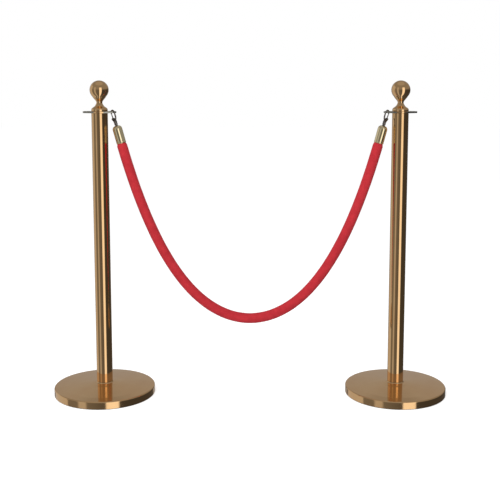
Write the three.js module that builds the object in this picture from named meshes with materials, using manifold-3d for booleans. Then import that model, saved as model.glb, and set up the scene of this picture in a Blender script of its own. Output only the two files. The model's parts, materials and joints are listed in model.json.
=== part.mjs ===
// Pair of ball-top rope posts joined by one velvet rope on snap hooks.
// Millimetres, +Z up. The origin is on the floor, midway between the two posts.
// +X runs from the left post to the right post, and the front of the pair faces -Y.

import * as THREE from 'three';
import { mergeVertices } from 'three/addons/utils/BufferGeometryUtils.js';
import Module from 'manifold-3d';

const wasm = await Module();
wasm.setup();

// Driving dimensions

const POST_SPACING = 934;
const POST_HEIGHT = 1000;
const GAP = 0.3;
const OVERLAP = 1;

const BASE_RADIUS = 160;
const BASE_WALL_HEIGHT = 25;
const BASE_RIM_FILLET = 4;
const BASE_CROWN_HEIGHT = 40;
const COVER_THICKNESS = 1.2;
const COVER_LIFT = 1.5;
const FLOOR_RING_HEIGHT = 4;
const FLOOR_RING_WIDTH = 20;
const WEIGHT_RADIUS = 148;

// The cover's top from its rim in to the tube, and the weight's top under it, as [radius, height].
const COVER_TOP = [
  [60, 33.6],
  [29, 36.4],
  [26, BASE_CROWN_HEIGHT],
];
const WEIGHT_TOP = [
  [WEIGHT_RADIUS, 18],
  [WEIGHT_RADIUS - 4, 22],
  [60, 26],
  [30, 30],
];

const BOLT_RADIUS = 4.9;
const BOLT_HOLE_RADIUS = 5.5;
const BOLT_HEAD_RADIUS = 9.8;
const BOLT_HEAD_HEIGHT = 6.4;
const BOLT_GRIP = 21;
const WASHER_RADIUS = 12;
const WASHER_THICKNESS = 1.5;
const COUNTERBORE_RADIUS = 14;
const COUNTERBORE_TOP = 15;

const TUBE_RADIUS = 25.4;
const TUBE_WALL = 1.5;
const PLUG_RADIUS = TUBE_RADIUS - TUBE_WALL - GAP;
const PLUG_LENGTH = 25;
const STUD_RADIUS = 4;
const STUD_HOLE_RADIUS = 4.4;
const STUD_BOTTOM = 880;
const STUD_LENGTH = 72;

const PLATE_BOTTOM = 899.5;
const PLATE_THICKNESS = 5;
const PLATE_CENTRE_RADIUS = 27;
const EYE_REACH = 38.5;
const EYE_HOLE_RADIUS = 10.2;
const EYE_OUTER_RADIUS = 13.6;

const BALL_RADIUS = 29.4;
const BALL_SEAT_HEIGHT = 953;
const NECK_RADIUS = 9.3;
const NECK_HEIGHT = 930;

// The skirt's side above its bottom edge, and the neck's side up to the ball, as [radius, height].
const SKIRT_SIDE = [
  [25.4, 909],
  [24.7, 912],
  [23, 914.5],
  [18.4, 917.6],
  [14.2, 921],
  [12.1, 924.1],
  [10.4, 927.3],
];
const NECK_SIDE = [
  [NECK_RADIUS, NECK_HEIGHT + 2],
  [9.7, 933.8],
  [11, 936.8],
  [13.6, 940],
  [16.2, 943.2],
  [19.2, 946.8],
];

const HOOK_REACH = 42.6;
const HOOK_FRONT = 10.5;
const HOOK_HEIGHT = 900.2;
const HOOK_TILT = THREE.MathUtils.degToRad(15);
const HOOK_TURN = THREE.MathUtils.degToRad(45);
const BOW_RADIUS = 8.2;
const WIRE_RADIUS = 2.2;
const NOSE_DEPTH = 4.6;
const BARREL_RADIUS = 5.6;
const BARREL_TOP = 25.5;
const BARREL_BOTTOM = 38;
const BARREL_CHAMFER = [0.6, 0.8];
const BARREL_SHOULDER = 3;
const CAVITY_RADIUS = 3.5;
const CAVITY_HEIGHT = 7;
const BARREL_MOUTH_RADIUS = 2.6;
const BARREL_LIP = 2.2;
const PIN_OFFSET = -6.6;
const PIN_DEPTH = 19;
const PIN_RADIUS = 1;
const EAR_RADIUS = 3.2;
const EAR_WIDTH = 8;
const SLOT_WIDTH = 4.2;
const SLOT_REACH = 9;
const SLOT_HEIGHT = 8.2;
const SLOT_SHIFT = 0.6;
const GATE_RADIUS = 1.7;
const GATE_CLEARANCE = 0.4;
const GATE_NECK = 4;
const GATE_NECK_WIDTH = 2.4;
const TONGUE_RADIUS = 2;
const TONGUE_WIDTH = 2;
const TONGUE_OFFSET = -0.8;
const SPRING_RADIUS = 1.7;
const SPRING_WIRE = 0.22;
const SPRING_TURNS = 1.5;
const SPRING_START = 0.75;
const SPRING_WIDTH = 0.8;

// The hook's fixed leg from the bow down to the barrel, and the foot of its ears, as [x, z].
const LEG_LINE = [
  [BOW_RADIUS, -7],
  [BOW_RADIUS - 0.3, -14],
  [BOW_RADIUS - 2.4, -20.5],
  [1.2, -25.5],
  [0, -28],
];
const EAR_FOOT = [
  [-3.6, -28],
  [3.6, -28],
  [2.2, -22.6],
];

const FERRULE_TOP = 41;
const FERRULE_MOUTH = 97;
const FERRULE_RADIUS = 15;
const FERRULE_WALL = 1.2;
const FERRULE_SHOULDER = 11.5;
const FERRULE_HOLE_RADIUS = 3.2;
const FERRULE_CROWN = 1.6;
const BEAD_HEIGHT = 3;
const BEAD_DEPTH = 0.6;
const FERRULE_PLUG_DEPTH = 12;
const FERRULE_PLUG_LENGTH = 17;
const STEM_RADIUS = 2.8;
const STEM_NECK_RADIUS = 2.2;
const STEM_HEAD_RADIUS = 3.1;
const STEM_HEAD_HEIGHT = 2.8;
const STEM_COLLAR_RADIUS = 4.6;
const STEM_DEPTH = 22;
const CORE_TAILS = [12, 26];
const ROPE_RADIUS = 16;
const ROPE_LINING_RADIUS = 13.2;
const CORE_RADIUS = 11.5;

// Half of the rope's route, from the middle of the span to a ferrule's mouth, as [x, z] points.
const HALF_ROUTE = [
  [0, 248],
  [40, 252.1],
  [80, 264.4],
  [120, 285.5],
  [160, 316.2],
  [200, 357.8],
  [235, 404.5],
  [265, 453.3],
  [290, 501],
  [315, 555.9],
  [335, 605.5],
  [355, 660.8],
  [372, 712.7],
  [386, 759.1],
  [399.1, 805.7],
];

const ROUND_SIDES = 24;
const BASE_SIDES = 36;
const WEIGHT_SIDES = 28;
const SMALL_SIDES = 16;

const COPPER = { color: 0xb98a5a, roughness: 0.12, metalness: 1 };
const DARK_PLATE = { color: 0x6a6355, roughness: 0.35, metalness: 1 };
const GOLD = { color: 0xc9a560, roughness: 0.15, metalness: 1 };
const GUNMETAL = { color: 0x3c3836, roughness: 0.25, metalness: 1 };
const STEEL = { color: 0x9a9a9a, roughness: 0.35, metalness: 1 };
const IRON = { color: 0x3a3a3c, roughness: 0.7, metalness: 0.8 };
const RUBBER = { color: 0x1a1a1a, roughness: 0.85, metalness: 0 };
const VELVET = { color: 0xc02c34, roughness: 0.9, metalness: 0 };
const CORE_FOAM = { color: 0xd8d2c4, roughness: 0.9, metalness: 0 };
const WOOD = { color: 0xb08a5c, roughness: 0.7, metalness: 0 };

// Helpers

function part(name, geometry, finish) {
  const mesh = new THREE.Mesh(geometry, new THREE.MeshStandardMaterial(finish));
  mesh.name = name;
  return mesh;
}

function turned(profile, sides) {
  const points = profile.map(([radius, height]) => new THREE.Vector2(radius, height));
  const geometry = new THREE.LatheGeometry(points, sides);
  geometry.rotateX(Math.PI / 2);
  return geometry;
}

function rod(radius, bottom, top, sides) {
  return turned([[0, bottom], [radius, bottom], [radius, top], [0, top]], sides);
}

function sleeve(outer, inner, bottom, top, sides) {
  const profile = [[inner, bottom], [outer, bottom], [outer, top], [inner, top], [inner, bottom]];
  return turned(profile, sides);
}

function arc(centreRadius, centreHeight, radius, startDegrees, endDegrees, steps) {
  const points = [];
  for (let i = 0; i <= steps; i += 1) {
    const angle = THREE.MathUtils.degToRad(startDegrees + ((endDegrees - startDegrees) * i) / steps);
    points.push([centreRadius + radius * Math.cos(angle), centreHeight + radius * Math.sin(angle)]);
  }
  return points;
}

function circle(radius, sides) {
  const points = [];
  for (let i = 0; i < sides; i += 1) {
    const angle = (2 * Math.PI * i) / sides;
    points.push(new THREE.Vector2(radius * Math.cos(angle), radius * Math.sin(angle)));
  }
  return points;
}

function swept(path, outer, inner, sides, steps) {
  const section = new THREE.Shape(circle(outer, sides));
  if (inner > 0) {
    section.holes.push(new THREE.Path(circle(inner, sides)));
  }
  return new THREE.ExtrudeGeometry(section, { steps, extrudePath: path });
}

function toSolid(geometry) {
  const bare = geometry.clone();
  bare.deleteAttribute('normal');
  bare.deleteAttribute('uv');
  const merged = mergeVertices(bare, 1e-4);
  const source = merged.index.array;
  const kept = [];
  for (let i = 0; i < source.length; i += 3) {
    const [a, b, c] = [source[i], source[i + 1], source[i + 2]];
    if (a !== b && b !== c && c !== a) {
      kept.push(a, b, c);
    }
  }
  const triVerts = new Uint32Array(kept);
  const vertProperties = new Float32Array(merged.attributes.position.array);
  return new wasm.Manifold(new wasm.Mesh({ numProp: 3, vertProperties, triVerts }));
}

function toGeometry(solid) {
  const mesh = solid.getMesh();
  const geometry = new THREE.BufferGeometry();
  geometry.setAttribute('position', new THREE.BufferAttribute(mesh.vertProperties, 3));
  geometry.setIndex(new THREE.BufferAttribute(mesh.triVerts, 1));
  return geometry;
}

// Base

function floorRing(name) {
  const outer = BASE_RADIUS - COVER_THICKNESS - GAP;
  return part(name, sleeve(outer, outer - FLOOR_RING_WIDTH, 0, FLOOR_RING_HEIGHT, BASE_SIDES), RUBBER);
}

// The spun cover: an upright wall, a rounded rim, a shallow cone and a small flare up to the tube.
function coverOutline(inset) {
  const rimCentre = BASE_RADIUS - BASE_RIM_FILLET;
  const rimHeight = BASE_WALL_HEIGHT - BASE_RIM_FILLET;
  const rimRadius = BASE_RIM_FILLET - inset;
  return [
    [BASE_RADIUS - inset, COVER_LIFT],
    ...arc(rimCentre, rimHeight, rimRadius, 0, 84, 3),
    ...COVER_TOP.map(([radius, height]) => [radius, height - inset]),
    [BOLT_HOLE_RADIUS, BASE_CROWN_HEIGHT - inset],
  ];
}

function baseCover(name) {
  const outside = coverOutline(0);
  const inside = coverOutline(COVER_THICKNESS).reverse();
  return part(name, turned([...outside, ...inside, outside[0]], BASE_SIDES), COPPER);
}

function baseWeight(name) {
  const bottom = FLOOR_RING_HEIGHT + GAP;
  const top = BASE_CROWN_HEIGHT - COVER_THICKNESS - GAP;
  const profile = [
    [COUNTERBORE_RADIUS, bottom],
    [WEIGHT_RADIUS, bottom],
    ...WEIGHT_TOP,
    [PLUG_RADIUS, top],
    [BOLT_HOLE_RADIUS, top],
    [BOLT_HOLE_RADIUS, COUNTERBORE_TOP],
    [COUNTERBORE_RADIUS, COUNTERBORE_TOP],
    [COUNTERBORE_RADIUS, bottom],
  ];
  return part(name, turned(profile, WEIGHT_SIDES), IRON);
}

function baseWasher(name) {
  const top = COUNTERBORE_TOP - GAP;
  const inner = BOLT_RADIUS + GAP;
  return part(name, sleeve(WASHER_RADIUS, inner, top - WASHER_THICKNESS, top, SMALL_SIDES), STEEL);
}

function baseBolt(name) {
  const headTop = COUNTERBORE_TOP - WASHER_THICKNESS - 2 * GAP;
  const head = toSolid(rod(BOLT_HEAD_RADIUS, headTop - BOLT_HEAD_HEIGHT, headTop, 6));
  const shankTop = BASE_CROWN_HEIGHT + BOLT_GRIP;
  const shank = toSolid(rod(BOLT_RADIUS, headTop - OVERLAP, shankTop, SMALL_SIDES));
  return part(name, toGeometry(head.add(shank)), STEEL);
}

// Post

function footPlug(name) {
  const bottom = BASE_CROWN_HEIGHT + 2 * GAP;
  const inner = BOLT_RADIUS + GAP;
  return part(name, sleeve(PLUG_RADIUS, inner, bottom, bottom + PLUG_LENGTH, ROUND_SIDES), STEEL);
}

function postTube(name) {
  const bottom = BASE_CROWN_HEIGHT + GAP;
  const top = PLATE_BOTTOM - GAP;
  return part(name, sleeve(TUBE_RADIUS, TUBE_RADIUS - TUBE_WALL, bottom, top, ROUND_SIDES), COPPER);
}

function topPlug(name) {
  const top = PLATE_BOTTOM - 2 * GAP;
  return part(name, sleeve(PLUG_RADIUS, STUD_HOLE_RADIUS, top - PLUG_LENGTH, top, ROUND_SIDES), STEEL);
}

// A flat plate with one eye on each side, its outline tangent to the centre disc and both eyes.
function ringPlate(name) {
  const tangent = Math.acos((PLATE_CENTRE_RADIUS - EYE_OUTER_RADIUS) / EYE_REACH);
  const outline = new THREE.Shape();
  outline.absarc(EYE_REACH, 0, EYE_OUTER_RADIUS, -tangent, tangent, false);
  outline.absarc(0, 0, PLATE_CENTRE_RADIUS, tangent, Math.PI - tangent, false);
  outline.absarc(-EYE_REACH, 0, EYE_OUTER_RADIUS, Math.PI - tangent, Math.PI + tangent, false);
  outline.absarc(0, 0, PLATE_CENTRE_RADIUS, Math.PI + tangent, 2 * Math.PI - tangent, false);
  const holes = [[-EYE_REACH, EYE_HOLE_RADIUS], [0, STUD_HOLE_RADIUS], [EYE_REACH, EYE_HOLE_RADIUS]];
  for (const [x, radius] of holes) {
    const hole = new THREE.Path();
    hole.absarc(x, 0, radius, 0, 2 * Math.PI, true);
    outline.holes.push(hole);
  }
  const depth = PLATE_THICKNESS;
  const geometry = new THREE.ExtrudeGeometry(outline, { depth, bevelEnabled: false, curveSegments: 10 });
  geometry.translate(0, 0, PLATE_BOTTOM);
  return part(name, geometry, DARK_PLATE);
}

// Finial

function finialSkirt(name) {
  const bottom = PLATE_BOTTOM + PLATE_THICKNESS + GAP;
  const top = NECK_HEIGHT - GAP;
  const profile = [
    [STUD_HOLE_RADIUS, bottom],
    [TUBE_RADIUS, bottom],
    ...SKIRT_SIDE,
    [NECK_RADIUS, top],
    [STUD_HOLE_RADIUS, top],
    [STUD_HOLE_RADIUS, bottom],
  ];
  return part(name, turned(profile, ROUND_SIDES), COPPER);
}

function finialBall(name) {
  const centre = POST_HEIGHT - BALL_RADIUS;
  const profile = [
    [STUD_HOLE_RADIUS, NECK_HEIGHT],
    [NECK_RADIUS, NECK_HEIGHT],
    ...NECK_SIDE,
    ...arc(0, centre, BALL_RADIUS, -42, 80, 8),
    [0, POST_HEIGHT],
    [0, BALL_SEAT_HEIGHT],
    [STUD_HOLE_RADIUS, BALL_SEAT_HEIGHT],
    [STUD_HOLE_RADIUS, NECK_HEIGHT],
  ];
  return part(name, turned(profile, ROUND_SIDES), COPPER);
}

function finialStud(name) {
  return part(name, rod(STUD_RADIUS, STUD_BOTTOM, STUD_BOTTOM + STUD_LENGTH, SMALL_SIDES), STEEL);
}

// Snap hook. Local frame: the origin is the middle of the bow, -Z runs down to the rope,
// +X points to the fixed leg, and the gate closes the side at -X.

function hookWire() {
  const line = [...arc(0, 0, BOW_RADIUS, 180, 0, 8), ...LEG_LINE];
  const spine = line.map(([x, z]) => new THREE.Vector3(x, 0, z));
  const noseFoot = new THREE.Vector3(-BOW_RADIUS, 0, -NOSE_DEPTH);
  const noseTop = new THREE.Vector3(-BOW_RADIUS, 0, OVERLAP / 2);
  const bent = toSolid(swept(new THREE.CatmullRomCurve3(spine), WIRE_RADIUS, 0, 8, 22));
  return bent.add(toSolid(swept(new THREE.LineCurve3(noseFoot, noseTop), WIRE_RADIUS, 0, 8, 1)));
}

// Two ears that hold the gate's pin, with the slot that the gate swings in.
function hookEars() {
  const outline = new THREE.Shape();
  outline.absarc(PIN_OFFSET, -PIN_DEPTH, EAR_RADIUS, Math.PI / 6, Math.PI * 1.15, false);
  for (const [x, z] of EAR_FOOT) {
    outline.lineTo(x, z);
  }
  const ears = new THREE.ExtrudeGeometry(outline, {
    depth: EAR_WIDTH,
    bevelEnabled: false,
    curveSegments: 6,
  });
  ears.rotateX(Math.PI / 2);
  ears.translate(0, EAR_WIDTH / 2, 0);
  const slot = new THREE.BoxGeometry(SLOT_REACH, SLOT_WIDTH, SLOT_HEIGHT);
  slot.translate(PIN_OFFSET - SLOT_SHIFT, 0, -PIN_DEPTH + SLOT_SHIFT);
  const pinHole = new THREE.CylinderGeometry(PIN_RADIUS + GAP, PIN_RADIUS + GAP, EAR_WIDTH + OVERLAP, 10);
  pinHole.translate(PIN_OFFSET, 0, -PIN_DEPTH);
  return toSolid(ears).subtract(toSolid(slot)).subtract(toSolid(pinHole));
}

// The barrel under the hook, hollow for the head of the swivel stem.
function hookBarrel() {
  const bottom = -BARREL_BOTTOM;
  const barrel = turned([
    [0, bottom],
    [BARREL_RADIUS - BARREL_CHAMFER[0], bottom],
    [BARREL_RADIUS, bottom + BARREL_CHAMFER[1]],
    [BARREL_RADIUS, -BARREL_TOP - BARREL_SHOULDER],
    [BARREL_SHOULDER, -BARREL_TOP],
    [0, -BARREL_TOP],
  ], SMALL_SIDES);
  const cavity = turned([
    [0, bottom - OVERLAP],
    [BARREL_MOUTH_RADIUS, bottom - OVERLAP],
    [BARREL_MOUTH_RADIUS, bottom + BARREL_LIP],
    [CAVITY_RADIUS, bottom + BARREL_LIP],
    [CAVITY_RADIUS, bottom + CAVITY_HEIGHT],
    [0, bottom + CAVITY_HEIGHT],
  ], SMALL_SIDES);
  return [toSolid(barrel), toSolid(cavity)];
}

function hookBody(name) {
  const [barrel, cavity] = hookBarrel();
  const solid = hookWire().add(hookEars()).add(barrel).subtract(cavity);
  return part(name, toGeometry(solid), GUNMETAL);
}

// The gate runs from its pin up to just under the hook's nose.
function gate(name) {
  const length = PIN_DEPTH - NOSE_DEPTH - GATE_CLEARANCE;
  const lean = Math.atan2(BOW_RADIUS + PIN_OFFSET, length);
  const barLength = length - GATE_NECK + OVERLAP;
  const bar = new THREE.CylinderGeometry(GATE_RADIUS, GATE_RADIUS, barLength, 10);
  bar.rotateX(Math.PI / 2);
  bar.translate(0, 0, length - barLength / 2);
  const neck = new THREE.BoxGeometry(GATE_NECK_WIDTH, TONGUE_WIDTH, GATE_NECK);
  neck.translate(0, TONGUE_OFFSET, GATE_NECK / 2);
  const tongue = new THREE.CylinderGeometry(TONGUE_RADIUS, TONGUE_RADIUS, TONGUE_WIDTH, 12);
  tongue.translate(0, TONGUE_OFFSET, 0);
  const hole = new THREE.CylinderGeometry(PIN_RADIUS + GAP, PIN_RADIUS + GAP, EAR_WIDTH, 10);
  const solid = toSolid(bar).add(toSolid(neck)).add(toSolid(tongue)).subtract(toSolid(hole));
  const geometry = toGeometry(solid);
  geometry.rotateY(-lean);
  geometry.translate(PIN_OFFSET, 0, -PIN_DEPTH);
  return part(name, geometry, GUNMETAL);
}

function gatePin(name) {
  const geometry = new THREE.CylinderGeometry(PIN_RADIUS, PIN_RADIUS, EAR_WIDTH, 10);
  geometry.translate(PIN_OFFSET, 0, -PIN_DEPTH);
  return part(name, geometry, STEEL);
}

// A torsion spring wound round the pin beside the gate's tongue.
function gateSpring(name) {
  const steps = 18;
  const points = [];
  for (let i = 0; i <= steps; i += 1) {
    const angle = (2 * Math.PI * SPRING_TURNS * i) / steps;
    points.push(new THREE.Vector3(
      PIN_OFFSET + SPRING_RADIUS * Math.cos(angle),
      SPRING_START + (SPRING_WIDTH * i) / steps,
      -PIN_DEPTH + SPRING_RADIUS * Math.sin(angle),
    ));
  }
  return part(name, swept(new THREE.CatmullRomCurve3(points), SPRING_WIRE, 0, 5, steps), STEEL);
}

// Rope end, in the same local frame as the hook.

function swivelStem(name) {
  const headTop = -BARREL_BOTTOM + CAVITY_HEIGHT - STEM_HEAD_HEIGHT / 2;
  const headBottom = headTop - STEM_HEAD_HEIGHT;
  return part(name, turned([
    [0, -FERRULE_TOP - STEM_DEPTH],
    [STEM_RADIUS, -FERRULE_TOP - STEM_DEPTH],
    [STEM_RADIUS, -FERRULE_TOP + GAP],
    [STEM_COLLAR_RADIUS, -FERRULE_TOP + GAP],
    [STEM_COLLAR_RADIUS, -BARREL_BOTTOM - GAP],
    [STEM_NECK_RADIUS, -BARREL_BOTTOM - GAP],
    [STEM_NECK_RADIUS, headBottom],
    [STEM_HEAD_RADIUS, headBottom],
    [STEM_HEAD_RADIUS, headTop],
    [0, headTop],
  ], SMALL_SIDES), GUNMETAL);
}

// A closed-top cup with a rounded shoulder and a bead at its mouth.
function ferrule(name) {
  const inner = FERRULE_RADIUS - FERRULE_WALL;
  const bead = FERRULE_RADIUS + BEAD_DEPTH;
  const shoulderRadius = FERRULE_RADIUS - FERRULE_SHOULDER;
  const shoulderHeight = -FERRULE_TOP - FERRULE_SHOULDER;
  return part(name, turned([
    [inner, -FERRULE_MOUTH],
    [bead, -FERRULE_MOUTH],
    [bead, -FERRULE_MOUTH + BEAD_HEIGHT],
    [FERRULE_RADIUS, -FERRULE_MOUTH + BEAD_HEIGHT + BEAD_DEPTH],
    ...arc(shoulderRadius, shoulderHeight, FERRULE_SHOULDER, 0, 90, 6),
    [FERRULE_HOLE_RADIUS, -FERRULE_TOP],
    [FERRULE_HOLE_RADIUS, -FERRULE_TOP - FERRULE_CROWN],
    [shoulderRadius, -FERRULE_TOP - FERRULE_CROWN],
    [inner, shoulderHeight],
    [inner, -FERRULE_MOUTH],
  ], ROUND_SIDES), GOLD);
}

function ferrulePlug(name) {
  const outer = FERRULE_RADIUS - FERRULE_WALL - GAP;
  const top = -FERRULE_TOP - FERRULE_PLUG_DEPTH;
  const bottom = top - FERRULE_PLUG_LENGTH;
  return part(name, sleeve(outer, STEM_RADIUS + GAP, bottom, top, SMALL_SIDES), WOOD);
}

// Rope

function ropeRoute(tails) {
  const half = HALF_ROUTE.map(([x, z]) => new THREE.Vector3(x, -HOOK_FRONT, z));
  const direction = new THREE.Vector3(Math.sin(HOOK_TILT), 0, Math.cos(HOOK_TILT));
  const mouth = half[half.length - 1];
  for (const length of tails) {
    half.push(mouth.clone().addScaledVector(direction, length));
  }
  const other = half.slice(1).map((point) => new THREE.Vector3(-point.x, point.y, point.z));
  return new THREE.CatmullRomCurve3([...other.reverse(), ...half], false, 'centripetal');
}

function ropeCover(name) {
  return part(name, swept(ropeRoute([]), ROPE_RADIUS, ROPE_LINING_RADIUS, 12, 30), VELVET);
}

function ropeCore(name) {
  return part(name, swept(ropeRoute(CORE_TAILS), CORE_RADIUS, 0, 8, 32), CORE_FOAM);
}

// Assembly

function post(side, label) {
  const group = new THREE.Group();
  group.add(floorRing(`${label}_floor_ring`));
  group.add(baseCover(`${label}_base_cover`));
  group.add(baseWeight(`${label}_base_weight`));
  group.add(baseWasher(`${label}_base_washer`));
  group.add(baseBolt(`${label}_base_bolt`));
  group.add(footPlug(`${label}_foot_plug`));
  group.add(postTube(`${label}_post_tube`));
  group.add(topPlug(`${label}_top_plug`));
  group.add(ringPlate(`${label}_ring_plate`));
  group.add(finialSkirt(`${label}_finial_skirt`));
  group.add(finialBall(`${label}_finial_ball`));
  group.add(finialStud(`${label}_finial_stud`));
  group.position.x = (side * POST_SPACING) / 2;
  return group;
}

function ropeEnd(side, label) {
  const hook = new THREE.Group();
  hook.add(hookBody(`${label}_hook_body`));
  hook.add(gate(`${label}_gate`));
  hook.add(gatePin(`${label}_gate_pin`));
  hook.add(gateSpring(`${label}_gate_spring`));
  hook.rotation.z = -Math.PI / 2 - side * HOOK_TURN;
  const group = new THREE.Group();
  group.add(hook);
  group.add(swivelStem(`${label}_swivel_stem`));
  group.add(ferrule(`${label}_ferrule`));
  group.add(ferrulePlug(`${label}_ferrule_plug`));
  group.rotation.y = side * HOOK_TILT;
  group.position.set(side * (POST_SPACING / 2 - HOOK_REACH), -HOOK_FRONT, HOOK_HEIGHT);
  return group;
}

const ropePosts = new THREE.Group();
for (const [side, label] of [[-1, 'left'], [1, 'right']]) {
  ropePosts.add(post(side, label));
  ropePosts.add(ropeEnd(side, label));
}
ropePosts.add(ropeCore('rope_core'));
ropePosts.add(ropeCover('rope_cover'));

export default ropePosts;
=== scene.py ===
import json
import math

import bmesh
import bpy
from mathutils import Matrix, Vector, noise


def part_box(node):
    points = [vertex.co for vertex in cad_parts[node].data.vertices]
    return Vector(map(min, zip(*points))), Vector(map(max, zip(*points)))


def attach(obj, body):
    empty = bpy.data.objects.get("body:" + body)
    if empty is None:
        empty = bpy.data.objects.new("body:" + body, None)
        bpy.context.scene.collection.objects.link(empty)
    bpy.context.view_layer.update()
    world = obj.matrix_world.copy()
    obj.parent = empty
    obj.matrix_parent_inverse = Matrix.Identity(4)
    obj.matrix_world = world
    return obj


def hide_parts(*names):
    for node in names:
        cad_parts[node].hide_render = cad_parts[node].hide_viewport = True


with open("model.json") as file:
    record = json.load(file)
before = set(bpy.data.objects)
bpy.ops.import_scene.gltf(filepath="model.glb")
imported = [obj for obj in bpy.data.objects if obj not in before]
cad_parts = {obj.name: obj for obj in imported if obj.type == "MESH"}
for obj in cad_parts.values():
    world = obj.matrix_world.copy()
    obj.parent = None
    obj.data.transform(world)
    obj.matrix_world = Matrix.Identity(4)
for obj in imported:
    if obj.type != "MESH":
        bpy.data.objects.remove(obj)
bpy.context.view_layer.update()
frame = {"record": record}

MM = 0.001
scene = bpy.context.scene
scene.view_settings.view_transform = "Standard"
joints = {j["name"]: j for j in frame["record"]["behaviour"]["joints"]}
SIDES = (("left", -1), ("right", 1))


# ---------------------------------------------------------------- camera

CAMERA_DISTANCE = 3.00
CAMERA_HEIGHT = 1.0723
CAMERA_PITCH = math.radians(7.42)
CAMERA_LENS = 69.51
CAMERA_SHIFT = 0.135

camera_data = bpy.data.cameras.new("camera")
camera_data.sensor_width = 36.0
camera_data.lens = CAMERA_LENS
camera_data.shift_y = -CAMERA_SHIFT
camera_data.clip_start = 0.05
camera_data.clip_end = 60.0
camera = bpy.data.objects.new("camera", camera_data)
camera.location = (0.0, -CAMERA_DISTANCE, CAMERA_HEIGHT)
camera.rotation_euler = (math.pi / 2 - CAMERA_PITCH, 0.0, 0.0)
scene.collection.objects.link(camera)
scene.camera = camera


# ---------------------------------------------------------------- mesh helpers

def finished(mesh, name, sharp_degrees=38.0):
    """Outward faces, smooth shading with sharp edges kept, and an object in the scene."""
    work = bmesh.new()
    work.from_mesh(mesh)
    bmesh.ops.remove_doubles(work, verts=work.verts, dist=1e-7)
    bmesh.ops.recalc_face_normals(work, faces=work.faces)
    work.to_mesh(mesh)
    work.free()
    mesh.shade_smooth()
    mesh.set_sharp_from_angle(angle=math.radians(sharp_degrees))
    piece = bpy.data.objects.new(name, mesh)
    scene.collection.objects.link(piece)
    return piece


def softened(profile, radius, steps=3):
    """The outline with each corner rounded, by at most radius. A closed outline repeats its first point."""
    points = [Vector(p) for p in profile]
    closed = (points[0] - points[-1]).length < 1e-9
    ring = points[:-1] if closed else points
    result = []
    for i, corner in enumerate(ring):
        if not closed and i in (0, len(ring) - 1):
            result.append(corner)
            continue
        before = ring[i - 1] - corner
        after = ring[(i + 1) % len(ring)] - corner
        turn = math.pi - before.angle(after, math.pi)
        if turn < math.radians(12):
            result.append(corner)
            continue
        reach = min(radius, 0.45 * before.length, 0.45 * after.length)
        start = corner + before.normalized() * reach
        end = corner + after.normalized() * reach
        for k in range(steps + 1):
            t = k / steps
            result.append((1 - t) ** 2 * start + 2 * t * (1 - t) * corner + t * t * end)
    if closed:
        result.append(result[0].copy())
    return [(p.x, p.y) for p in result]


def braced(profile, reach=0.0004, longest=0.005):
    """Adds points close to the ends of long straight runs, so that shading stays flat along them."""
    result = []
    for a, b in zip(profile, profile[1:]):
        result.append(a)
        length = math.dist(a, b)
        if length > longest:
            for share in (reach / length, 1 - reach / length):
                result.append((a[0] + (b[0] - a[0]) * share, a[1] + (b[1] - a[1]) * share))
    result.append(profile[-1])
    return result


def lathe_mesh(name, profile, sides):
    """A solid of revolution about Z. The outline is closed, or starts and ends on the axis."""
    rows = list(profile)
    closed = rows[0] == rows[-1]
    if closed:
        rows = rows[:-1]
    verts, rings = [], []
    for radius, height in rows:
        if radius < 1e-9:
            rings.append([len(verts)] * sides)
            verts.append((0.0, 0.0, height))
            continue
        rings.append([len(verts) + k for k in range(sides)])
        for k in range(sides):
            angle = 2 * math.pi * k / sides
            verts.append((radius * math.cos(angle), radius * math.sin(angle), height))
    faces = []
    count = len(rings) if closed else len(rings) - 1
    for i in range(count):
        low, high = rings[i], rings[(i + 1) % len(rings)]
        for k in range(sides):
            m = (k + 1) % sides
            corners = [low[k], low[m], high[m], high[k]]
            corners = [c for n, c in enumerate(corners) if c != corners[n - 1]]
            if len(set(corners)) > 2:
                faces.append(corners)
    mesh = bpy.data.meshes.new(name)
    mesh.from_pydata(verts, [], faces)
    return mesh


def lathe(name, profile, sides=96, round_by=0.0, sharp_degrees=38.0):
    outline = [(r * MM, z * MM) for r, z in profile]
    if round_by:
        outline = softened(outline, round_by * MM)
    outline = braced(outline)
    return finished(lathe_mesh(name, outline, sides), name, sharp_degrees)


def arc(cr, cz, radius, start, end, steps):
    """Outline points on an arc, in degrees."""
    found = []
    for i in range(steps + 1):
        angle = math.radians(start + (end - start) * i / steps)
        found.append((cr + radius * math.cos(angle), cz + radius * math.sin(angle)))
    return found


def through(points, per_span):
    """A smooth line through the points (centripetal Catmull-Rom)."""
    pts = [Vector(p) for p in points]
    ends = [2 * pts[0] - pts[1]] + pts + [2 * pts[-1] - pts[-2]]
    line = []
    for i in range(1, len(ends) - 2):
        p0, p1, p2, p3 = ends[i - 1:i + 3]
        knots = [0.0]
        for a, b in ((p0, p1), (p1, p2), (p2, p3)):
            knots.append(knots[-1] + max((b - a).length, 1e-9) ** 0.5)
        for k in range(per_span):
            t = knots[1] + (knots[2] - knots[1]) * k / per_span

            def mix(a, b, ta, tb):
                return a * ((tb - t) / (tb - ta)) + b * ((t - ta) / (tb - ta))

            a1 = mix(p0, p1, knots[0], knots[1])
            a2 = mix(p1, p2, knots[1], knots[2])
            a3 = mix(p2, p3, knots[2], knots[3])
            b1 = mix(a1, a2, knots[0], knots[2])
            b2 = mix(a2, a3, knots[1], knots[3])
            line.append(mix(b1, b2, knots[1], knots[2]))
    line.append(pts[-1])
    return line


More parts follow.
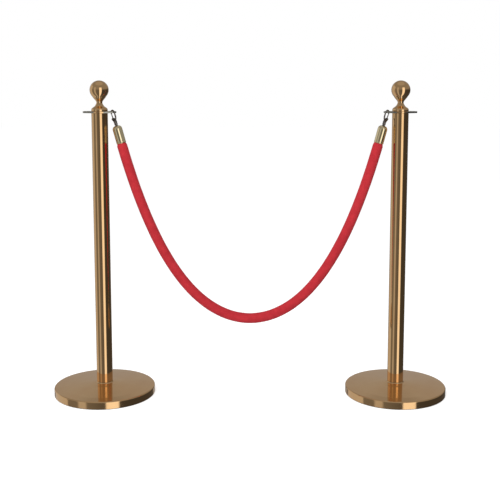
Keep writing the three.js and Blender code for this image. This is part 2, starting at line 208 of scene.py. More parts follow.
def sweep_mesh(name, line, radius_at, sides, across=Vector((0, 1, 0))):
    """A closed tube along a line that lies flat in the plane square to across.

    radius_at(share, angle) gives the radius at a share of the line's length and an angle about it.
    """
    lengths = [0.0]
    for a, b in zip(line, line[1:]):
        lengths.append(lengths[-1] + (b - a).length)
    verts, faces = [], []
    for i, centre in enumerate(line):
        ahead = line[min(i + 1, len(line) - 1)] - line[max(i - 1, 0)]
        normal = ahead.normalized().cross(across).normalized()
        for k in range(sides):
            angle = 2 * math.pi * k / sides
            out = math.cos(angle) * normal + math.sin(angle) * across
            verts.append(centre + out * radius_at(lengths[i] / lengths[-1], angle))
    for i in range(len(line) - 1):
        for k in range(sides):
            m = (k + 1) % sides
            faces.append((i * sides + k, i * sides + m, (i + 1) * sides + m, (i + 1) * sides + k))
    last = (len(line) - 1) * sides
    faces.append(tuple(reversed(range(sides))))
    faces.append(tuple(range(last, last + sides)))
    mesh = bpy.data.meshes.new(name)
    mesh.from_pydata(verts, [], faces)
    return mesh


def prism_mesh(name, outline, half_depth):
    """A flat outline in X and Z, given depth along Y."""
    count = len(outline)
    verts = [(x, -half_depth, z) for x, z in outline] + [(x, half_depth, z) for x, z in outline]
    faces = [tuple(range(count)), tuple(reversed(range(count, 2 * count)))]
    for k in range(count):
        m = (k + 1) % count
        faces.append((k, k + count, m + count, m))
    mesh = bpy.data.meshes.new(name)
    mesh.from_pydata(verts, [], faces)
    return mesh


def cut(piece, tool):
    """Takes the tool's shape out of the piece and deletes the tool."""
    modifier = piece.modifiers.new("cut", "BOOLEAN")
    modifier.operation = "DIFFERENCE"
    modifier.solver = "EXACT"
    modifier.object = tool
    bake_modifiers(piece)
    bpy.data.objects.remove(tool)


def bake_modifiers(piece):
    graph = bpy.context.evaluated_depsgraph_get()
    baked = bpy.data.meshes.new_from_object(piece.evaluated_get(graph))
    piece.modifiers.clear()
    old = piece.data
    piece.data = baked
    bpy.data.meshes.remove(old)


def fused(name, meshes, voxel, smooth_rounds):
    """Several overlapping closed shells made into one skin, like a casting."""
    joined = bmesh.new()
    for mesh in meshes:
        joined.from_mesh(mesh)
    bmesh.ops.recalc_face_normals(joined, faces=joined.faces)
    whole = bpy.data.meshes.new(name)
    joined.to_mesh(whole)
    joined.free()
    piece = bpy.data.objects.new(name, whole)
    scene.collection.objects.link(piece)
    remesh = piece.modifiers.new("skin", "REMESH")
    remesh.mode = "VOXEL"
    remesh.voxel_size = voxel
    remesh.use_smooth_shade = True
    smooth = piece.modifiers.new("smooth", "SMOOTH")
    smooth.iterations = smooth_rounds
    smooth.factor = 0.5
    bake_modifiers(piece)
    piece.data.shade_smooth()
    return piece


# ---------------------------------------------------------------- materials

def new_material(name):
    material = bpy.data.materials.new(name)
    material.use_nodes = True
    tree = material.node_tree
    tree.nodes.clear()
    shader = tree.nodes.new("ShaderNodeBsdfPrincipled")
    output = tree.nodes.new("ShaderNodeOutputMaterial")
    tree.links.new(shader.outputs["BSDF"], output.inputs["Surface"])
    return material, tree, shader


def coordinates(tree):
    return tree.nodes.new("ShaderNodeTexCoord").outputs["Object"]


def noise_node(tree, vector, scale, detail=3.0, rough=0.5, dimensions="3D"):
    node = tree.nodes.new("ShaderNodeTexNoise")
    node.noise_dimensions = dimensions
    node.inputs["Scale"].default_value = scale
    node.inputs["Detail"].default_value = detail
    node.inputs["Roughness"].default_value = rough
    tree.links.new(vector, node.inputs["W" if dimensions == "1D" else "Vector"])
    return node.outputs["Fac"]


def remap(tree, value, low, high, new_low, new_high):
    node = tree.nodes.new("ShaderNodeMapRange")
    node.inputs["From Min"].default_value = low
    node.inputs["From Max"].default_value = high
    node.inputs["To Min"].default_value = new_low
    node.inputs["To Max"].default_value = new_high
    tree.links.new(value, node.inputs["Value"])
    return node.outputs["Result"]


def math_node(tree, operation, a, b=None):
    node = tree.nodes.new("ShaderNodeMath")
    node.operation = operation
    for index, value in enumerate((a, b)):
        if value is None:
            continue
        if isinstance(value, (int, float)):
            node.inputs[index].default_value = value
        else:
            tree.links.new(value, node.inputs[index])
    return node.outputs["Value"]


def mix_colour(tree, factor, a, b):
    node = tree.nodes.new("ShaderNodeMix")
    node.data_type = "RGBA"
    tree.links.new(factor, node.inputs["Factor"])
    node.inputs["A"].default_value = (*a, 1.0)
    node.inputs["B"].default_value = (*b, 1.0)
    return node.outputs["Result"]


def smooth_step(tree, value, low, high):
    node = tree.nodes.new("ShaderNodeMapRange")
    node.interpolation_type = "SMOOTHSTEP"
    node.inputs["From Min"].default_value = low
    node.inputs["From Max"].default_value = high
    tree.links.new(value, node.inputs["Value"])
    return node.outputs["Result"]


def layered(tree, factor, under, over):
    node = tree.nodes.new("ShaderNodeMix")
    node.data_type = "RGBA"
    tree.links.new(factor, node.inputs["Factor"])
    for key, value in (("A", under), ("B", over)):
        if isinstance(value, tuple):
            node.inputs[key].default_value = (*value, 1.0)
        else:
            tree.links.new(value, node.inputs[key])
    return node.outputs["Result"]


def bump(tree, shader, height, strength, distance, below=None):
    node = tree.nodes.new("ShaderNodeBump")
    node.inputs["Strength"].default_value = strength
    node.inputs["Distance"].default_value = distance
    tree.links.new(height, node.inputs["Height"])
    if below is not None:
        tree.links.new(below, node.inputs["Normal"])
    tree.links.new(node.outputs["Normal"], shader.inputs["Normal"])
    return node.outputs["Normal"]


def from_axis(tree, vector):
    """Distance from the piece's own Z axis."""
    split = tree.nodes.new("ShaderNodeSeparateXYZ")
    tree.links.new(vector, split.inputs["Vector"])
    squares = [math_node(tree, "MULTIPLY", split.outputs[c], split.outputs[c]) for c in ("X", "Y")]
    return math_node(tree, "SQRT", math_node(tree, "ADD", squares[0], squares[1]))


def polished_metal(name, bright, deep, rough_low, rough_high, grain_depth=0.012, turned=0.0):
    """Plated, polished metal: faint tint drift, buffing haze and, on turned parts, lathe rings."""
    material, tree, shader = new_material(name)
    place = coordinates(tree)
    drift = noise_node(tree, place, 14.0, 2.0)
    tint = mix_colour(tree, remap(tree, drift, 0.3, 0.7, 0.0, 1.0), bright, deep)
    tree.links.new(tint, shader.inputs["Base Color"])
    shader.inputs["Metallic"].default_value = 1.0
    haze = noise_node(tree, place, 60.0, 6.0, 0.65)
    tree.links.new(remap(tree, haze, 0.35, 0.75, rough_low, rough_high), shader.inputs["Roughness"])
    grain = noise_node(tree, place, 900.0, 2.0)
    normal = bump(tree, shader, grain, grain_depth, 0.0002)
    if turned:
        rings = noise_node(tree, from_axis(tree, place), 2600.0, 2.0, 0.5, "1D")
        bump(tree, shader, rings, turned, 0.0002, normal)
    return material


ROSE_GOLD = (0.84, 0.54, 0.27)


def copper():
    return polished_metal("rose_gold_plating", ROSE_GOLD, (0.80, 0.50, 0.24), 0.035, 0.075)


def spun_copper():
    """The spun cover: its turning marks run round the post, so highlights stretch along the radius."""
    material = polished_metal("rose_gold_spun", ROSE_GOLD, (0.80, 0.49, 0.235), 0.06, 0.11, 0.004, 0.01)
    tree = material.node_tree
    shader = tree.nodes["Principled BSDF"]
    around = tree.nodes.new("ShaderNodeTangent")
    around.direction_type = "RADIAL"
    around.axis = "Z"
    tree.links.new(around.outputs["Tangent"], shader.inputs["Tangent"])
    shader.inputs["Anisotropic"].default_value = 0.75
    return material


def gold():
    return polished_metal("gold_plating", (0.93, 0.79, 0.50), (0.90, 0.74, 0.44), 0.03, 0.07)


def gunmetal():
    return polished_metal("dark_nickel", (0.30, 0.27, 0.25), (0.20, 0.18, 0.165), 0.06, 0.14)


# Radii where the painted shade on the plate's eyes begins and where it is full.
PAINTED_SHADE_EDGE = (0.0272, 0.0280)


def plate_metal():
    """Painted shade: the eyes take a dull grey bronze tone that stands in for shade on the plating, and are
    rougher; the middle, where the post clamps the plate, keeps the bright plating colour.
    """
    material = polished_metal("plate_painted_shade", (0.40, 0.39, 0.33), (0.30, 0.29, 0.24), 0.16, 0.28)
    tree = material.node_tree
    shader = tree.nodes["Principled BSDF"]
    # Painted shade: past this radius the eyes are coloured dark bronze to stand for shade.
    painted_shade = smooth_step(tree, from_axis(tree, coordinates(tree)), *PAINTED_SHADE_EDGE)
    shade_tone = shader.inputs["Base Color"].links[0].from_socket
    tree.links.new(layered(tree, painted_shade, ROSE_GOLD, shade_tone), shader.inputs["Base Color"])
    dull = shader.inputs["Roughness"].links[0].from_socket
    tree.links.new(remap(tree, math_node(tree, "MULTIPLY", dull, painted_shade), 0.0, 0.28, 0.06, 0.28),
                   shader.inputs["Roughness"])
    return material


def zinc():
    return polished_metal("zinc_steel", (0.62, 0.62, 0.60), (0.50, 0.49, 0.46), 0.25, 0.45)


def rough_solid(name, light, dark, scale, roughness, depth):
    """Cast, moulded or sawn surfaces: two tones and a grain with real depth."""
    material, tree, shader = new_material(name)
    place = coordinates(tree)
    grain = noise_node(tree, place, scale, 8.0, 0.6)
    tone = mix_colour(tree, remap(tree, grain, 0.35, 0.65, 0.0, 1.0), dark, light)
    tree.links.new(tone, shader.inputs["Base Color"])
    gloss = remap(tree, grain, 0.3, 0.7, roughness - 0.1, roughness + 0.1)
    tree.links.new(gloss, shader.inputs["Roughness"])
    bump(tree, shader, grain, 0.6, depth)
    return material


def velvet():
    """Short pile: a fine nap, brushed patches, and the pale sheen of fibre tips seen side on."""
    material, tree, shader = new_material("red_velvet")
    place = coordinates(tree)
    patches = noise_node(tree, place, 55.0, 4.0, 0.6)
    nap = noise_node(tree, place, 1500.0, 3.0, 0.7)
    brushed = remap(tree, patches, 0.3, 0.7, 0.0, 0.6)
    fibres = remap(tree, nap, 0.3, 0.7, 0.0, 0.4)
    blend = math_node(tree, "ADD", brushed, fibres)
    tone = mix_colour(tree, blend, (0.37, 0.020, 0.028), (0.53, 0.034, 0.043))
    tree.links.new(tone, shader.inputs["Base Color"])
    shader.inputs["Roughness"].default_value = 0.95
    shader.inputs["Specular IOR Level"].default_value = 0.15
    shader.inputs["Sheen Weight"].default_value = 0.35
    shader.inputs["Sheen Roughness"].default_value = 0.35
    shader.inputs["Sheen Tint"].default_value = (1.0, 0.42, 0.42, 1.0)
    bump(tree, shader, nap, 0.55, 0.0006)
    return material


MATERIALS = {
    "copper": copper(),
    "spun": spun_copper(),
    "gold": gold(),
    "gunmetal": gunmetal(),
    "plate": plate_metal(),
    "zinc": zinc(),
    "iron": rough_solid("cast_iron", (0.075, 0.075, 0.08), (0.035, 0.035, 0.038), 420.0, 0.62, 0.0008),
    "rubber": rough_solid("black_rubber", (0.035, 0.035, 0.035), (0.018, 0.018, 0.018), 700.0, 0.75, 0.0002),
    "wood": rough_solid("plug_wood", (0.48, 0.31, 0.17), (0.33, 0.19, 0.09), 160.0, 0.7, 0.0003),
    "velvet": velvet(),
}


def dress(piece, material, slot, body, *nodes):
    """Gives a piece its material, the body it rides on and the nodes it stands for. The slot is not used."""
    piece.data.materials.clear()
    piece.data.materials.append(MATERIALS[material])
    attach(piece, body)
    if nodes:
        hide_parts(*nodes)
    return piece


def repaint(node, material):
    """Gives a CAD node that stays in view its procedural material."""
    holder = bpy.data.objects[node]
    for place in holder.material_slots:
        place.material = MATERIALS[material]


# ---------------------------------------------------------------- posts

BASE_R = 160.0
TUBE_R = 25.4
PLATE_LOW = 899.5
PLATE_HIGH = 904.5
COVER_WALL = 1.2


def cover_outline(inset):
    """The spun cover's outline, from the bottom of its wall to the bolt hole."""
    rim = 4.0 - inset
    return [
        (BASE_R - inset, 1.5),
        *arc(156.0, 21.0, rim, 0, 84, 10),
        (130.0, 27.6 - inset),
        (100.0, 30.2 - inset),
        (70.0, 32.8 - inset),
        (58.0, 33.8 - inset),
        (48.0, 34.7 - inset),
        (40.0, 35.6 - inset),
        (32.0, 36.3 - inset),
        (28.6, 36.8 - inset),
        (27.0, 37.8 - inset),
        (26.2, 39.9 - inset),
        (5.5, 40.0 - inset),
    ]


def base(label, x):
    outside = cover_outline(0.0)
    inside = list(reversed(cover_outline(COVER_WALL)))
    cover = lathe(f"{label}_spun_cover", outside + inside + [outside[0]], 192, 0.5)
    cover.location.x = x
    dress(cover, "spun", "polished_copper", "posts", f"{label}_base_cover")
    ring = [(138.5, 0), (158.5, 0), (158.5, 4.0), (138.5, 4.0), (138.5, 0)]
    foot = lathe(f"{label}_rubber_foot", ring, 144, 0.8)
    foot.location.x = x
    dress(foot, "rubber", "black_rubber", "posts", f"{label}_floor_ring")
    weight = lathe(f"{label}_cast_weight", [
        (14, 4.3), (60, 4.3), (63, 6.3), (117, 6.3), (120, 4.3), (148, 4.3), (148, 18), (144, 22),
        (60, 26), (30, 30), (23.4, 38.5), (5.5, 38.5), (5.5, 15), (14, 15), (14, 4.3),
    ], 128, 0.8)
    weight.location.x = x
    dress(weight, "iron", "cast_iron", "posts", f"{label}_base_weight")


def post_tube(label, x):
    tube = lathe(f"{label}_tube", [
        (23.9, 40.3), (TUBE_R, 40.3), (TUBE_R, PLATE_LOW - 0.3), (23.9, PLATE_LOW - 0.3), (23.9, 40.3),
    ], 128, 0.4)
    tube.location.x = x
    dress(tube, "copper", "polished_copper", "posts", f"{label}_post_tube")


def eye_plate(label, x):
    """A flat plate with one eye each side, its edges tumbled round."""
    reach, eye_outer, eye_hole, middle = 38.5, 13.6, 10.2, 27.0
    lean = math.degrees(math.acos((middle - eye_outer) / reach))
    outline = [
        *arc(reach, 0, eye_outer, -lean, lean, 24),
        *arc(0, 0, middle, lean, 180 - lean, 16),
        *arc(-reach, 0, eye_outer, 180 - lean, 180 + lean, 24),
        *arc(0, 0, middle, 180 + lean, 360 - lean, 16),
    ]
    curve = bpy.data.curves.new(f"{label}_plate_outline", "CURVE")
    curve.dimensions = "2D"
    curve.fill_mode = "BOTH"
    bevel = 0.5
    loops = [(outline, 0, 0, -bevel)]
    for cx, radius in ((-reach, eye_hole), (reach, eye_hole), (0, 4.4)):
        loops.append((arc(0, 0, radius, 0, 352.5, 47), cx, 0, bevel))
    for points, cx, cy, _ in loops:
        spline = curve.splines.new("POLY")
        spline.points.add(len(points) - 1)
        for target, (px, py) in zip(spline.points, points):
            target.co = ((px + cx) * MM, (py + cy) * MM, 0.0, 1.0)
        spline.use_cyclic_u = True
    curve.extrude = (PLATE_HIGH - PLATE_LOW) / 2 * MM - bevel * MM
    curve.bevel_depth = bevel * MM
    curve.offset = -bevel * MM
    curve.bevel_resolution = 2
    holder = bpy.data.objects.new("outline", curve)
    scene.collection.objects.link(holder)
    graph = bpy.context.evaluated_depsgraph_get()
    mesh = bpy.data.meshes.new_from_object(holder.evaluated_get(graph))
    bpy.data.objects.remove(holder)
    mesh.transform(Matrix.Translation((0, 0, (PLATE_HIGH + PLATE_LOW) / 2 * MM)))
    plate = finished(mesh, f"{label}_eye_plate")
    plate.location.x = x
    dress(plate, "plate", "dark_plate", "posts", f"{label}_ring_plate")


def finial(label, x):
    skirt_low = PLATE_HIGH + 0.3
    skirt = lathe(f"{label}_collar", [
        (4.4, skirt_low), (TUBE_R, skirt_low), (TUBE_R, 908.6), (25.2, 910.4), (24.6, 912.3),
        (23.2, 914.2), (20.9, 916.0), (18.3, 917.7), (16.0, 919.3), (14.2, 921.0), (12.9, 922.8),
        (11.9, 924.6), (11.0, 926.4), (10.2, 928.0), (9.6, 929.0), (9.3, 929.7), (4.4, 929.7),
        (4.4, skirt_low),
    ], 96, 0.5)
    skirt.location.x = x
    dress(skirt, "copper", "polished_copper", f"{label}_finial", f"{label}_finial_skirt")
    seat = 929.75
    ball = lathe(f"{label}_ball", [
        (4.4, seat), (9.3, seat), (9.3, 931.4), (9.45, 933.0), (10.0, 934.8), (11.1, 936.9), (12.4, 938.5),
        (13.7, 940.1), (15.3, 942.0), (17.2, 944.4), (19.2, 946.9), *arc(0, 970.6, 29.4, -42, 86, 44),
        (0, 1000), (0, 953), (4.4, 953), (4.4, seat),
    ], 96, 0.25, 60.0)
    ball.location.x = x
    dress(ball, "copper", "polished_copper", f"{label}_finial", f"{label}_finial_ball")
    stud = threaded_rod(f"{label}_threaded_stud", 880.0, 952.0, 4.0, 1.25)
    stud.location.x = x
    dress(stud, "zinc", "zinc_steel", f"{label}_finial_stud", f"{label}_finial_stud")


def threaded_rod(name, low, high, radius, pitch):
    """A rod with a true helical thread and a chamfered tip."""
    sides, per_pitch = 28, 6
    thread_depth, tip_length, tip_depth, deepest = 0.65, 1.2, 0.8, 1.1
    rows = round((high - low) / pitch * per_pitch)
    verts, faces = [], []
    for i in range(rows + 1):
        z = low + (high - low) * i / rows
        tip = max(0.0, 1.0 - (z - low) / tip_length)
        for k in range(sides):
            angle = 2 * math.pi * k / sides
            phase = ((z - low) / pitch - k / sides) % 1.0
            depth = thread_depth * (1 - abs(2 * phase - 1)) + tip_depth * tip
            r = radius - min(depth, deepest)
            verts.append((r * math.cos(angle) * MM, r * math.sin(angle) * MM, z * MM))
    for i in range(rows):
        for k in range(sides):
            m = (k + 1) % sides
            faces.append((i * sides + k, i * sides + m, (i + 1) * sides + m, (i + 1) * sides + k))
    faces.append(tuple(reversed(range(sides))))
    faces.append(tuple(range(rows * sides, (rows + 1) * sides)))
    mesh = bpy.data.meshes.new(name)
    mesh.from_pydata(verts, [], faces)
    return finished(mesh, name, 50.0)


def post(label):
    low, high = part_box(f"{label}_post_tube")
    x = (low[0] + high[0]) / 2
    base(label, x)
    post_tube(label, x)
    eye_plate(label, x)
    finial(label, x)
    for node in ("base_bolt", "base_washer", "foot_plug", "top_plug"):
        repaint(f"{label}_{node}", "zinc")


# ---------------------------------------------------------------- rope ends

def in_metres(points):
    """Outline points in millimetres, as metres."""
    return [(across * MM, up * MM) for across, up in points]


def hook_frame(label):
    """The hook's own frame: origin in the middle of its bow, Z up its length, Y along the gate's pin."""
    swivel = joints[f"{label}_hook_swivel"]
    up = Vector(swivel["axis"]).normalized()
    pin = Vector(joints[f"{label}_gate_hinge"]["axis"]).normalized()
    side = pin.cross(up).normalized()
    matrix = Matrix((side, pin, up)).transposed().to_4x4()
    matrix.translation = Vector(swivel["pos_m"])
    return matrix


BOW_R = 8.2
PIN_X = -6.6
PIN_Z = -19.0
PIN_BORE_R = 1.15
WIRE_R = 2.05
WIRE_SWELL = 0.35
SWELL_AT = 0.68
SWELL_SPREAD = 0.16
EAR_HALF = 4.0
EAR_R = 3.2
SLOT_HALF = 2.1
GATE_R = 1.7
TONGUE_R = 2.0
TONGUE_HALF = 1.0
TONGUE_SHIFT = -0.8


def hook_body(label, place):
    turns = [math.radians(180 - 22.5 * i) for i in range(9)]
    spine = [(-BOW_R, -4.4), (-BOW_R, -2.0)]
    spine += [(BOW_R * math.cos(turn), BOW_R * math.sin(turn)) for turn in turns]
    spine += [(BOW_R, -7), (BOW_R - 0.3, -14), (BOW_R - 2.4, -20.5), (1.4, -25.5), (0, -28.5)]
    line = through([(x * MM, 0, z * MM) for x, z in spine], 8)

    def wire(share, angle):
        swell = WIRE_SWELL * math.exp(-((share - SWELL_AT) / SWELL_SPREAD) ** 2)
        return (WIRE_R + swell) * MM

    tube = sweep_mesh("wire", line, wire, 20)
    outline = [*arc(PIN_X, PIN_Z, EAR_R, 30, 207, 16), (-3.6, -28), (3.6, -28), (2.2, -22.6)]
    ears = prism_mesh("ears", in_metres(outline), EAR_HALF * MM)
    barrel = lathe_mesh("barrel", in_metres(softened([
        (0, -38), (5.6, -38), (5.6, -35.8), (5.0, -35.2), (5.0, -31.2), (5.6, -30.6), (5.6, -28.6),
        (3.2, -25.5), (0, -25.5),
    ], 0.6)), 40)
    body = fused(f"{label}_hook", [tube, ears, barrel], 0.22 * MM, 4)
    for mesh in (tube, ears, barrel):
        bpy.data.meshes.remove(mesh)
    slot_outline = [(-11.7, -22.5), (-2.7, -22.5), (-2.7, -14.3), (-11.7, -14.3)]
    slot = prism_mesh("slot", in_metres(slot_outline), SLOT_HALF * MM)
    cut(body, bpy.data.objects.new("slot", slot))
    bore = lathe_mesh("bore", in_metres([(0, -5), (PIN_BORE_R, -5), (PIN_BORE_R, 5), (0, 5)]), 24)
    bore.transform(Matrix.Translation((PIN_X * MM, 0, PIN_Z * MM)) @ Matrix.Rotation(math.pi / 2, 4, "X"))
    cut(body, bpy.data.objects.new("bore", bore))
    hollow = [(0, -39), (2.6, -39), (2.6, -35.8), (3.5, -35.8), (3.5, -31), (0, -31)]
    cavity = lathe_mesh("cavity", in_metres(hollow), 32)
    cut(body, bpy.data.objects.new("cavity", cavity))
    body.data.shade_smooth()
    body.data.set_sharp_from_angle(angle=math.radians(50))
    body.matrix_world = place
    dress(body, "gunmetal", "gunmetal", f"{label}_hook", f"{label}_hook_body")


def gate(label, place):
    lean = math.atan2(BOW_R + PIN_X, -5.0 - PIN_Z)
    bar_outline = softened([(0, 3.0), (GATE_R, 3.0), (GATE_R, 13.9), (0, 13.9)], 0.5)
    bar = lathe_mesh("bar", in_metres(bar_outline), 28)
    neck = prism_mesh("neck", in_metres([(-1.2, 0), (1.2, 0), (1.2, 4), (-1.2, 4)]), TONGUE_HALF * MM)
    beside_spring = Matrix.Translation((0, TONGUE_SHIFT * MM, 0))
    neck.transform(beside_spring)
    eye = lathe_mesh("eye", in_metres([
        (0, -TONGUE_HALF), (TONGUE_R, -TONGUE_HALF), (TONGUE_R, TONGUE_HALF), (0, TONGUE_HALF),
    ]), 32)
    eye.transform(beside_spring @ Matrix.Rotation(math.pi / 2, 4, "X"))
    piece = fused(f"{label}_hook_gate", [bar, neck, eye], 0.16 * MM, 2)
    for mesh in (bar, neck, eye):
        bpy.data.meshes.remove(mesh)
    bore = lathe_mesh("bore", in_metres([(0, -4), (PIN_BORE_R, -4), (PIN_BORE_R, 4), (0, 4)]), 24)
    bore.transform(Matrix.Rotation(math.pi / 2, 4, "X"))
    cut(piece, bpy.data.objects.new("bore", bore))
    piece.data.shade_smooth()
    piece.data.set_sharp_from_angle(angle=math.radians(50))
    local = Matrix.Translation((PIN_X * MM, 0, PIN_Z * MM)) @ Matrix.Rotation(-lean, 4, "Y")
    piece.matrix_world = place @ local
    dress(piece, "gunmetal", "gunmetal", f"{label}_gate", f"{label}_gate")


def gate_pin(label, place):
    pin = lathe(f"{label}_pin", [
        (0, -4.0), (0.8, -4.0), (1.0, -3.8), (1.0, 3.8), (0.8, 4.0), (0, 4.0),
    ], 28)
    pin.matrix_world = (place @ Matrix.Translation((PIN_X * MM, 0, PIN_Z * MM))
                        @ Matrix.Rotation(math.pi / 2, 4, "X"))
    dress(pin, "zinc", "zinc_steel", f"{label}_hook", f"{label}_gate_pin")
    repaint(f"{label}_gate_spring", "zinc")


def swivel(label, place):
    stem = lathe(f"{label}_swivel", [
        (0, -63), (2.8, -63), (2.8, -40.7), (4.6, -40.7), (4.6, -38.3), (2.2, -38.3), (2.2, -35.3),
        (3.1, -35.3), (3.1, -32.5), (0, -32.5),
    ], 48, 0.5)
    stem.matrix_world = place
    dress(stem, "gunmetal", "gunmetal", "rope", f"{label}_swivel_stem")


def ferrule(label, place):
    """A cup with a domed top, a bead at its mouth and a fine turned line above the bead."""
    cup = lathe(f"{label}_ferrule_cup", [
        (13.8, -97), (15.1, -97), *arc(14.6, -95.4, 1.0, -50, 50, 6), (15.0, -94.2), (15.0, -90.6),
        (14.75, -90.3), (14.75, -90.0), (15.0, -89.7), (15.0, -53.5),
        *arc(3.5, -52.5, 11.5, 0, 90, 24), (3.2, -41), (3.2, -42.6), (3.5, -42.6), (13.8, -52.5),
        (13.8, -97),
    ], 96, 0.25, 45.0)
    cup.matrix_world = place
    dress(cup, "gold", "polished_gold", "rope", f"{label}_ferrule")
    repaint(f"{label}_ferrule_plug", "wood")


def rope_end(label):
    place = hook_frame(label)
    hook_body(label, place)
    gate(label, place)
    gate_pin(label, place)
    swivel(label, place)
    ferrule(label, place)


# ---------------------------------------------------------------- rope

ROPE_R = 16.0
TUCK = 22.0
NECKED_R = 13.3
NAP_ROOM = 0.15

# Half of the route, from the middle of the span to a ferrule's mouth, as [x, z] in metres.
HALF_ROUTE = [
    (0.0, 0.248), (0.04, 0.2521), (0.08, 0.2644), (0.12, 0.2855), (0.16, 0.3162), (0.2, 0.3578),
    (0.235, 0.4045), (0.265, 0.4533), (0.29, 0.501), (0.315, 0.5559), (0.335, 0.6055),
    (0.355, 0.6608), (0.372, 0.7127), (0.386, 0.7591), (0.3991, 0.8057),
]


def rope_line():
    """The rope's centreline, from inside the left ferrule to inside the right one."""
    y = joints["rope_swing"]["pos_m"][1]
    half = [Vector((x, y, z)) for x, z in HALF_ROUTE]
    tilt = math.acos(joints["right_hook_swivel"]["axis"][2])
    inward = Vector((math.sin(tilt), 0, math.cos(tilt)))
    mouth = half[-1]
    half += [mouth + inward * (TUCK * MM / 2), mouth + inward * (TUCK * MM)]
    other = [Vector((-p.x, p.y, p.z)) for p in reversed(half[1:])]
    return through(other + half, 12)


def velvet_rope():
    line = rope_line()
    total = sum((b - a).length for a, b in zip(line, line[1:]))

    def surface(share, angle):
        along = share * total
        from_end = min(along, total - along) - TUCK * MM
        squeeze = 1.0 / (1.0 + math.exp(-(from_end - 0.0035) / 0.0016))
        radius = NECKED_R + (ROPE_R - NECKED_R - NAP_ROOM) * squeeze
        fade = math.exp(-max(from_end, 0.0) / 0.014)
        radius += 0.45 * squeeze * fade * math.cos(13 * angle + 40 * from_end)
        sample = Vector((math.cos(angle) * 1.4, math.sin(angle) * 1.4, along * 38.0))
        radius += 0.22 * squeeze * noise.noise(sample)
        fold = max(0.0, math.cos(angle - math.pi)) ** 2
        bend = math.exp(-((share - 0.5) / 0.2) ** 2)
        wave = math.sin(along * 2 * math.pi / 0.0105 + 2.2 * math.sin(along * 61.0))
        radius += 0.16 * bend * fold * wave
        seam = (angle - math.pi / 2) / 0.075
        groove = -0.75 * math.exp(-seam * seam)
        lips = 0.35 * math.exp(-((abs(seam) - 2.2) / 0.9) ** 2)
        radius += squeeze * (groove + lips)
        return radius * MM

    mesh = sweep_mesh("velvet_rope", line, surface, 72)
    rope = finished(mesh, "velvet_rope", 60.0)
    dress(rope, "velvet", "red_velvet", "rope", "rope_cover", "rope_core")
    return rope, line, total


for label, _ in SIDES:
    post(label)
    rope_end(label)
rope, centreline, rope_length = velvet_rope()
on_the_rope = []
for label, _ in SIDES:
    on_the_rope += [f"{label}_{part}" for part in
                    ("hook", "hook_gate", "pin", "swivel", "ferrule_cup", "gate_spring", "ferrule_plug")]


# ---------------------------------------------------------------- studio

# The soft boxes round the set, as (degrees from the viewer's side to the right, width in degrees,
# brightness).
SOFT_BOXES = [(25.0, 30.0, 1.20), (-45.0, 20.0, 0.50), (-115.0, 60.0, 0.55), (180.0, 50.0, 0.38)]
BOX_EDGE = 0.04
BOX_TOP = 0.5
ROOM_LEFT = (0.20, 0.20, 0.20)
ROOM_RIGHT = (0.06, 0.06, 0.06)
ROOM_ABOVE = (0.29, 0.29, 0.29)
OVERHEAD = (0.40, 0.40, 0.40)
FILL_LEFT = (0.76, 0.76, 0.77)
FILL_RIGHT = (0.46, 0.46, 0.47)
BACKDROP = (1.0, 1.0, 1.0)
HORIZON = (-0.05, 0.25)
OVERHEAD_EDGE = (0.8, 0.9)


def soft_box(tree, sides, height, degrees, width):
    """How much of a direction lies in a soft box that stands at these degrees."""
    x, y = sides
    turn = math.radians(degrees)
    facing = math_node(tree, "ADD", math_node(tree, "MULTIPLY", x, math.sin(turn)),
                       math_node(tree, "MULTIPLY", y, -math.cos(turn)))
    half = math.cos(math.radians(width / 2))
    across = smooth_step(tree, facing, half - BOX_EDGE / 4, half + BOX_EDGE / 4)
    below_top = smooth_step(tree, height, BOX_TOP + BOX_EDGE, BOX_TOP - BOX_EDGE)
    return math_node(tree, "MULTIPLY", across, below_top)


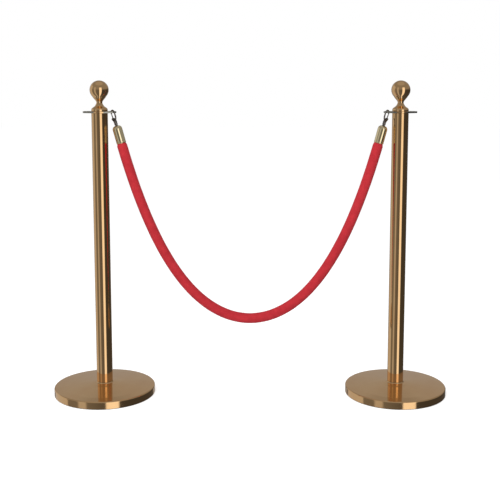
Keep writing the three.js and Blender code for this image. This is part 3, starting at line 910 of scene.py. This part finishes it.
def studio_world():
    """A plain room with four soft boxes and a soft light overhead, and a white backdrop for the camera."""
    world = bpy.data.worlds.new("studio")
    scene.world = world
    world.use_nodes = True
    tree = world.node_tree
    tree.nodes.clear()
    direction = tree.nodes.new("ShaderNodeTexCoord").outputs["Generated"]
    split = tree.nodes.new("ShaderNodeSeparateXYZ")
    tree.links.new(direction, split.inputs["Vector"])
    x, y, z = (split.outputs[axis] for axis in "XYZ")
    level = tree.nodes.new("ShaderNodeVectorMath")
    level.operation = "NORMALIZE"
    flat = tree.nodes.new("ShaderNodeCombineXYZ")
    tree.links.new(x, flat.inputs["X"])
    tree.links.new(y, flat.inputs["Y"])
    tree.links.new(flat.outputs["Vector"], level.inputs[0])
    compass = tree.nodes.new("ShaderNodeSeparateXYZ")
    tree.links.new(level.outputs["Vector"], compass.inputs["Vector"])
    sides = (compass.outputs["X"], compass.outputs["Y"])

    room = layered(tree, smooth_step(tree, x, -1.0, 1.0), ROOM_LEFT, ROOM_RIGHT)
    room = layered(tree, smooth_step(tree, z, *HORIZON), room, ROOM_ABOVE)
    for degrees, width, brightness in SOFT_BOXES:
        room = layered(tree, soft_box(tree, sides, z, degrees, width), room, (brightness,) * 3)
    room = layered(tree, smooth_step(tree, z, *OVERHEAD_EDGE), room, OVERHEAD)
    fill = layered(tree, smooth_step(tree, x, -1.0, 1.0), FILL_LEFT, FILL_RIGHT)
    path = tree.nodes.new("ShaderNodeLightPath")
    plain = layered(tree, path.outputs["Is Diffuse Ray"], room, fill)
    seen = layered(tree, path.outputs["Is Camera Ray"], plain, BACKDROP)
    background = tree.nodes.new("ShaderNodeBackground")
    tree.links.new(seen, background.inputs["Color"])
    output = tree.nodes.new("ShaderNodeOutputWorld")
    tree.links.new(background.outputs["Background"], output.inputs["Surface"])


KEY_SIZE = 2.4
KEY_PLACE = (-0.8, -3.0, 2.8)
KEY_TARGET = (0, 0, 0.5)
KEY_WATTS = 100.0


def key_light():
    data = bpy.data.lights.new("key", "AREA")
    data.shape = "RECTANGLE"
    data.size = KEY_SIZE
    data.size_y = KEY_SIZE
    data.energy = KEY_WATTS
    key = bpy.data.objects.new("key", data)
    key.location = KEY_PLACE
    aim = Vector(KEY_TARGET) - Vector(KEY_PLACE)
    key.rotation_euler = aim.to_track_quat("-Z", "Y").to_euler()
    key.visible_glossy = False
    scene.collection.objects.link(key)


FLOOR_HALF = 12.0
FLOOR_DROP = 0.0004
FLOOR_TONE = (0.86, 0.86, 0.86, 1.0)
FLOOR_LIFT = 0.48


def floor():
    mesh = bpy.data.meshes.new("floor")
    signs = ((-1, -1), (1, -1), (1, 1), (-1, 1))
    corners = [(across * FLOOR_HALF, along * FLOOR_HALF, 0) for across, along in signs]
    mesh.from_pydata(corners, [], [(0, 1, 2, 3)])
    ground = bpy.data.objects.new("floor", mesh)
    ground.location.z = -FLOOR_DROP
    material, tree, shader = new_material("pale_floor")
    shader.inputs["Base Color"].default_value = FLOOR_TONE
    shader.inputs["Roughness"].default_value = 0.9
    shader.inputs["Specular IOR Level"].default_value = 0.0
    shader.inputs["Emission Color"].default_value = (1.0, 1.0, 1.0, 1.0)
    path = tree.nodes.new("ShaderNodeLightPath")
    lift = math_node(tree, "MULTIPLY", path.outputs["Is Camera Ray"], FLOOR_LIFT)
    tree.links.new(lift, shader.inputs["Emission Strength"])
    mesh.materials.append(material)
    ground.visible_glossy = False
    scene.collection.objects.link(ground)


studio_world()
key_light()
floor()
